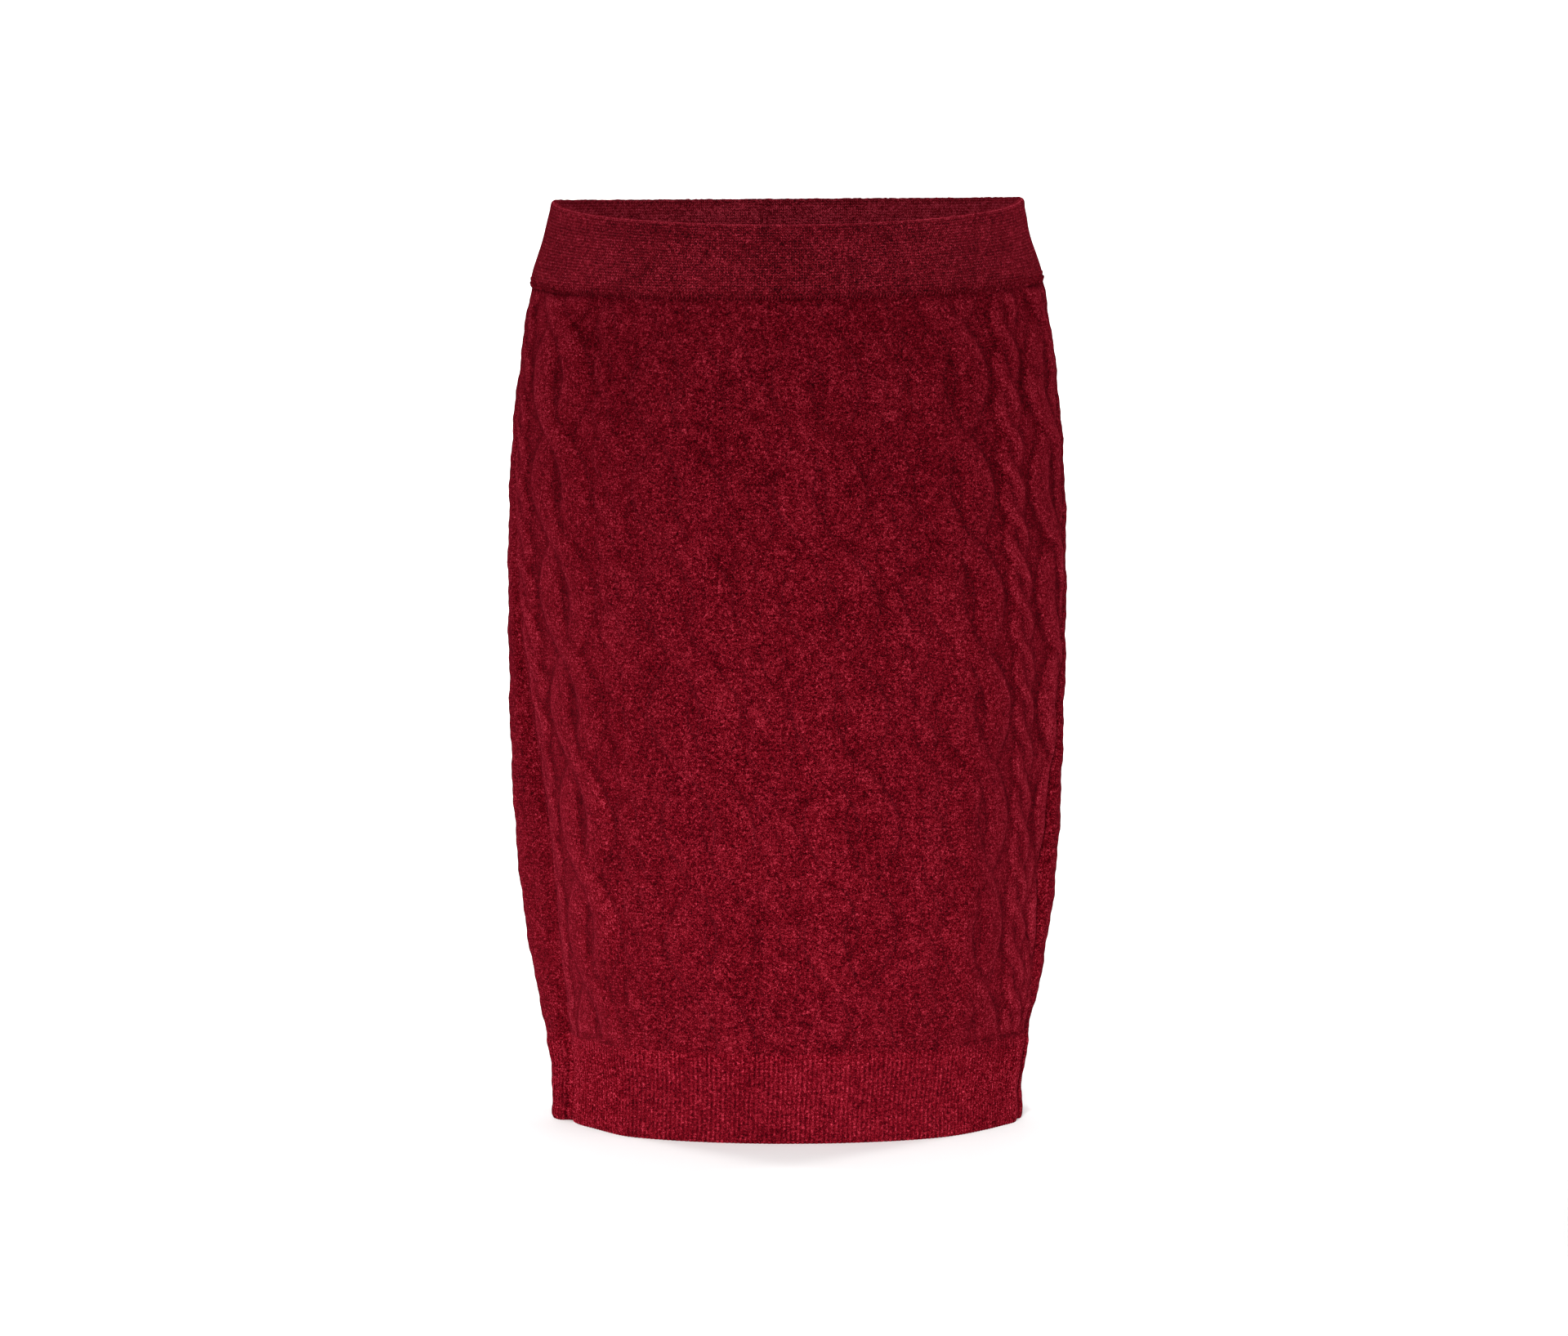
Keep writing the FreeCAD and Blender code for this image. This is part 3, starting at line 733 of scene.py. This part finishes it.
class Nodes:
    """A small helper that adds nodes to one material and links them."""

    def __init__(self, name):
        self.material = bpy.data.materials.new(name)
        self.material.use_nodes = True
        self.tree = self.material.node_tree
        self.shader = self.tree.nodes["Principled BSDF"]

    def add(self, kind, inputs=None, **settings):
        node = self.tree.nodes.new(kind)
        for key, value in settings.items():
            setattr(node, key, value)
        for key, value in (inputs or {}).items():
            if isinstance(value, bpy.types.NodeSocket):
                self.tree.links.new(value, node.inputs[key])
            else:
                node.inputs[key].default_value = value
        return node

    def math(self, operation, *values, clamp=False):
        node = self.add("ShaderNodeMath", dict(enumerate(values)), operation=operation, use_clamp=clamp)
        return node.outputs[0]

    def attribute(self, name):
        return self.add("ShaderNodeAttribute", attribute_name=name).outputs["Fac"]

    def noise(self, vector, scale, detail=2.0, roughness=0.5, distortion=0.0):
        node = self.add("ShaderNodeTexNoise", {"Vector": vector, "Scale": scale, "Detail": detail,
                                               "Roughness": roughness, "Distortion": distortion})
        return node.outputs["Fac"]

    def spread(self, value, gain):
        """A noise value about zero, times gain."""
        return self.math("MULTIPLY", self.math("SUBTRACT", value, 0.5), gain)

    def total(self, *values):
        result = values[0]
        for value in values[1:]:
            result = self.math("ADD", result, value)
        return result

    def ramp(self, value, stops):
        node = self.add("ShaderNodeValToRGB", {"Fac": value})
        elements = node.color_ramp.elements
        while len(elements) < len(stops):
            elements.new(0.5)
        for element, (at, colour) in zip(elements, stops):
            element.position = at
            element.color = (*colour, 1)
        return node.outputs["Color"]

    def link(self, output, name):
        self.tree.links.new(output, self.shader.inputs[name])

    def bump(self, height, distance, strength):
        return self.add("ShaderNodeBump", {"Height": height, "Distance": distance, "Strength": strength}
                        ).outputs["Normal"]


def stitches(n, wale, course):
    """Height of a plain knit face, 0 to 1: two leaning legs to each stitch."""
    off = n.math("ABSOLUTE", n.math("SUBTRACT", n.math("FRACT", wale), 0.5))
    leg = n.math("SINE", n.math("MULTIPLY", off, 2 * math.pi))
    lean = n.math("ADD", course, n.math("MULTIPLY", off, 1.3))
    row = n.math("MULTIPLY_ADD", n.math("COSINE", n.math("MULTIPLY", lean, 2 * math.pi)), 0.5, 0.5)
    return n.math("MULTIPLY", leg, n.math("MULTIPLY_ADD", row, 0.6, 0.4))


# The wool from its darkest fibres to its palest: place on the ramp, then red, green and blue.
WOOL_COLOURS = [
    (0.0, (0.011, 0.0001, 0.0007)),
    (0.2, (0.038, 0.0002, 0.0014)),
    (0.4, (0.084, 0.0009, 0.0038)),
    (0.6, (0.146, 0.0048, 0.0105)),
    (0.8, (0.240, 0.0140, 0.0275)),
    (1.0, (0.420, 0.0360, 0.0600))]


def knit_material(name, shade=1.0, stitch_depth=0.5, painted_shading=0.1, contrast=1.15, sheen=0.12, show=0.16,
                  dust=0.0003):
    """Brushed melange wool: dark and pale fibres, plain knit stitches, with painted shade in the hollows
    and painted highlights where the height attribute holds them.

    show is how much the stitches lighten it; the painted shading gain is how much the height attribute's
    painted shade and painted highlights darken and lighten it; dust is pale lint.
    """
    n = Nodes(name)
    place = n.add("ShaderNodeTexCoord").outputs["Object"]
    wale, course, height = (n.attribute(a) for a in ("wale", "course", "height"))
    face = stitches(n, wale, course)
    yarn = n.add("ShaderNodeCombineXYZ", {"X": n.math("MULTIPLY", wale, 0.55), "Y": course}).outputs[0]
    fleck = n.noise(place, 1350, 3, 0.8, 0.4)
    tuft = n.noise(place, 600, 2, 0.6, 0.8)
    streak = n.noise(yarn, 1.1, 2, 0.6)
    cloud = n.noise(place, 110, 2, 0.6)
    slow = n.noise(place, 25, 2, 0.5)
    tone = n.total(
        0.46,
        n.spread(fleck, 2.9 * contrast),
        n.spread(tuft, 1.2 * contrast),
        n.spread(streak, 0.7 * contrast),
        n.spread(cloud, 0.42 * contrast),
        n.spread(slow, 0.20),
        n.spread(face, show),
        # Painted shade and light: the height attribute darkens hollows and lightens painted highlights.
        n.spread(height, painted_shading))
    stops = [(at, (shade * red, shade * green + dust, shade * blue + dust))
             for at, (red, green, blue) in WOOL_COLOURS]
    n.link(n.ramp(n.math("MULTIPLY", tone, 0.8), stops), "Base Color")
    n.shader.inputs["Roughness"].default_value = 0.92
    n.shader.inputs["Specular IOR Level"].default_value = 0
    n.shader.inputs["Sheen Weight"].default_value = sheen
    n.shader.inputs["Sheen Roughness"].default_value = 0.5
    n.shader.inputs["Sheen Tint"].default_value = (0.9, 0.05, 0.10, 1)
    surface = n.total(n.math("MULTIPLY", face, stitch_depth), n.math("MULTIPLY", tuft, 0.7),
                      n.math("MULTIPLY", fleck, 0.7))
    n.link(n.bump(surface, 0.6 * MM, 0.8), "Normal")
    return n.material


def thread_material(name, colour, pale):
    """Twisted yarn or thread."""
    n = Nodes(name)
    place = n.add("ShaderNodeTexCoord").outputs["Object"]
    twist = n.noise(place, 2400, 2, 0.6, 1.0)
    tone = n.total(0.5, n.spread(twist, 2.2), n.spread(n.noise(place, 350, 2), 1.2))
    n.link(n.ramp(tone, [(0.15, tuple(0.4 * c for c in colour)), (0.5, colour), (0.9, pale)]), "Base Color")
    n.shader.inputs["Roughness"].default_value = 0.8
    n.shader.inputs["Specular IOR Level"].default_value = 0.05
    n.link(n.bump(twist, 0.2 * MM, 0.6), "Normal")
    return n.material


def woven_material(name, dark, light, pitch, roughness):
    """Plain woven tape or elastic: two crossing sets of threads."""
    n = Nodes(name)
    place = n.add("ShaderNodeTexCoord").outputs["Object"]
    parts = n.add("ShaderNodeSeparateXYZ", {"Vector": place})
    round_way = n.math("ADD", parts.outputs["X"], parts.outputs["Y"])
    turns = 2 * math.pi / pitch
    across = n.math("SINE", n.math("MULTIPLY", round_way, turns))
    up = n.math("SINE", n.math("MULTIPLY", parts.outputs["Z"], turns))
    weave = n.math("MULTIPLY_ADD", n.math("MULTIPLY", across, up), 0.5, 0.5)
    tone = n.total(weave, n.spread(n.noise(place, 260, 3), 0.8))
    n.link(n.ramp(tone, [(0.1, dark), (0.8, light)]), "Base Color")
    n.shader.inputs["Roughness"].default_value = roughness
    n.link(n.bump(weave, 0.15 * MM, 0.5), "Normal")
    return n.material


def dress(piece, material, slot, *nodes):
    piece.data.materials.clear()
    piece.data.materials.append(material)
    if nodes:
        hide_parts(*nodes)


# ---------------------------------------------------------------- the skirt

cable_knit = knit_material("cable_knit", painted_shading=0.36)
jersey_knit = knit_material("jersey_knit", painted_shading=0.0)
# Painted light: the rib and the band are lighter copies of the same wool, standing in for the brighter
# light that falls on them.
rib_knit = knit_material("rib_knit", shade=1.15, stitch_depth=0.25, painted_shading=0.22)
band_knit = knit_material("band_knit", shade=1.25, stitch_depth=1.2, painted_shading=1.2, show=0.8, dust=0.0013)
yarn = knit_material("linking_yarn", shade=1.1, stitch_depth=0, painted_shading=0, show=0, dust=0.0008)
thread = thread_material("sewing_thread", (0.10, 0.002, 0.007), (0.20, 0.015, 0.03))
tape = woven_material("label_tape", (0.62, 0.60, 0.56), (0.90, 0.89, 0.86), 0.5 * MM, 0.35)
webbing = woven_material("elastic_webbing", (0.50, 0.48, 0.44), (0.86, 0.84, 0.79), 1.4 * MM, 0.7)

front = make_front_panel()
back = make_back_panel()
front_rib = make_hem_rib("front_hem_rib_knit", front_start, front_end)
back_rib = make_hem_rib("back_hem_rib_knit", back_start, back_end)
front_band = make_waistband("front_waistband_knit", 180, 360, 261)
back_band = make_waistband("back_waistband_knit", 0, 180, 261)
label = make_care_label()

dress(front, cable_knit, "cable_knit", "front_panel")
dress(back, jersey_knit, "jersey_knit", "back_panel")
dress(front_rib, rib_knit, "rib_knit", "front_hem_rib")
dress(back_rib, rib_knit, "rib_knit", "back_hem_rib")
dress(front_band, band_knit, "band_knit", "waistband_front")
dress(back_band, band_knit, "band_knit", "waistband_back")
dress(make_linking_row(), yarn, "linking_yarn", "waist_linking_seam")
dress(make_side_seam("right_side_seam_edges", False), yarn, "linking_yarn", "right_side_seam")
dress(make_side_seam("left_side_seam_edges", True), yarn, "linking_yarn", "left_side_seam")
dress(make_band_join("waistband_right_ladder", -1), yarn, "linking_yarn", "waistband_right_join")
dress(make_band_join("waistband_left_ladder", 1), yarn, "linking_yarn", "waistband_left_join")
dress(make_bartack("right_hem_bartack_thread", False), thread, "sewing_thread", "right_hem_bartack")
dress(make_bartack("left_hem_bartack_thread", True), thread, "sewing_thread", "left_hem_bartack")
dress(label, tape, "label_tape", "care_label")
dress(make_label_margin(), tape, "label_tape")
dress(make_label_stitches(), thread, "sewing_thread", "care_label_stitches")
dress(frame["nodes"]["waist_elastic"], webbing, "elastic_webbing")
dress(frame["nodes"]["elastic_join_stitches"], thread, "sewing_thread")


# ---------------------------------------------------------------- camera, light and stage

CAMERA_ASIDE = -2 * MM
CAMERA_DISTANCE = 3.5
CAMERA_HEIGHT = BAND_TOP - 2 * MM
AIM_HEIGHT = 0.2764
FOCAL_PIXELS = 7046
IMAGE_WIDTH = 1919
SENSOR_WIDTH = 36

camera_data = bpy.data.cameras.new("camera")
camera_data.sensor_width = SENSOR_WIDTH
camera_data.lens = SENSOR_WIDTH * FOCAL_PIXELS / IMAGE_WIDTH
camera = bpy.data.objects.new("camera", camera_data)
camera.location = (CAMERA_ASIDE, -CAMERA_DISTANCE, CAMERA_HEIGHT)
aim = Vector((CAMERA_ASIDE, 0, AIM_HEIGHT)) - camera.location
camera.rotation_euler = aim.to_track_quat("-Z", "Y").to_euler()
bpy.context.scene.collection.objects.link(camera)
bpy.context.scene.camera = camera


def make_floor():
    """A wide pale floor that curves up into a wall behind, so that no edge shows."""
    half, back, radius = 40.0, 9.0, 3.0
    outline = [(-half, 0), (back - radius, 0)]
    outline += [(back - radius + radius * math.sin(a), radius - radius * math.cos(a))
                for a in np.linspace(0, math.pi / 2, 25)[1:]]
    outline.append((back, 9))
    points = [(x, y, z) for x in (-half, half) for y, z in outline]
    count = len(outline)
    faces = [[i, count + i, count + i + 1, i + 1] for i in range(count - 1)]
    mesh = bpy.data.meshes.new("floor")
    mesh.from_pydata(points, [], faces)
    mesh.shade_smooth()
    floor = bpy.data.objects.new("floor", mesh)
    bpy.context.scene.collection.objects.link(floor)
    n = Nodes("pale_floor")
    place = n.add("ShaderNodeTexCoord").outputs["Object"]
    stops = [(0.3, (0.93, 0.93, 0.93)), (0.7, (0.95, 0.95, 0.95))]
    n.link(n.ramp(n.noise(place, 3, 2), stops), "Base Color")
    n.shader.inputs["Roughness"].default_value = 0.9
    mesh.materials.append(n.material)


def add_light(name, place, size, power, aim=(0, 0, 0.3)):
    data = bpy.data.lights.new(name, "AREA")
    data.shape = "RECTANGLE"
    data.size, data.size_y = size
    data.energy = power
    lamp = bpy.data.objects.new(name, data)
    lamp.location = place
    lamp.rotation_euler = (Vector(aim) - Vector(place)).to_track_quat("-Z", "Y").to_euler()
    bpy.context.scene.collection.objects.link(lamp)


def add_low_spot():
    """Brightens the lower half from the front."""
    data = bpy.data.lights.new("low_spot", "SPOT")
    data.energy = 1560
    data.spot_size = math.radians(15.4)
    data.spot_blend = 1
    data.shadow_soft_size = 0.5
    lamp = bpy.data.objects.new("low_spot", data)
    lamp.location = (-0.5, -3.6, 0.9)
    lamp.rotation_euler = (Vector((0, 0, -0.04)) - lamp.location).to_track_quat("-Z", "Y").to_euler()
    bpy.context.scene.collection.objects.link(lamp)


make_floor()
add_light("front_softbox", (0.3, -3.6, 1.5), (2.0, 1.8), 9)
add_light("left_softbox", (-2.8, -1.6, 1.2), (1.6, 2.2), 4)
add_light("right_softbox", (2.8, -1.6, 1.2), (1.6, 2.2), 15)
add_light("wall_softbox_left", (-3.5, 3.0, 4.5), (3.0, 1.6), 420, (-1, 7.5, 0.8))
add_light("wall_softbox_right", (3.5, 3.0, 4.5), (3.0, 1.6), 420, (1, 7.5, 0.8))
add_low_spot()

world = bpy.data.worlds.new("studio")
world.use_nodes = True
world.node_tree.nodes["Background"].inputs["Color"].default_value = (1, 1, 1, 1)
world.node_tree.nodes["Background"].inputs["Strength"].default_value = 0.53
bpy.context.scene.world = world
bpy.context.scene.view_settings.view_transform = "Standard"
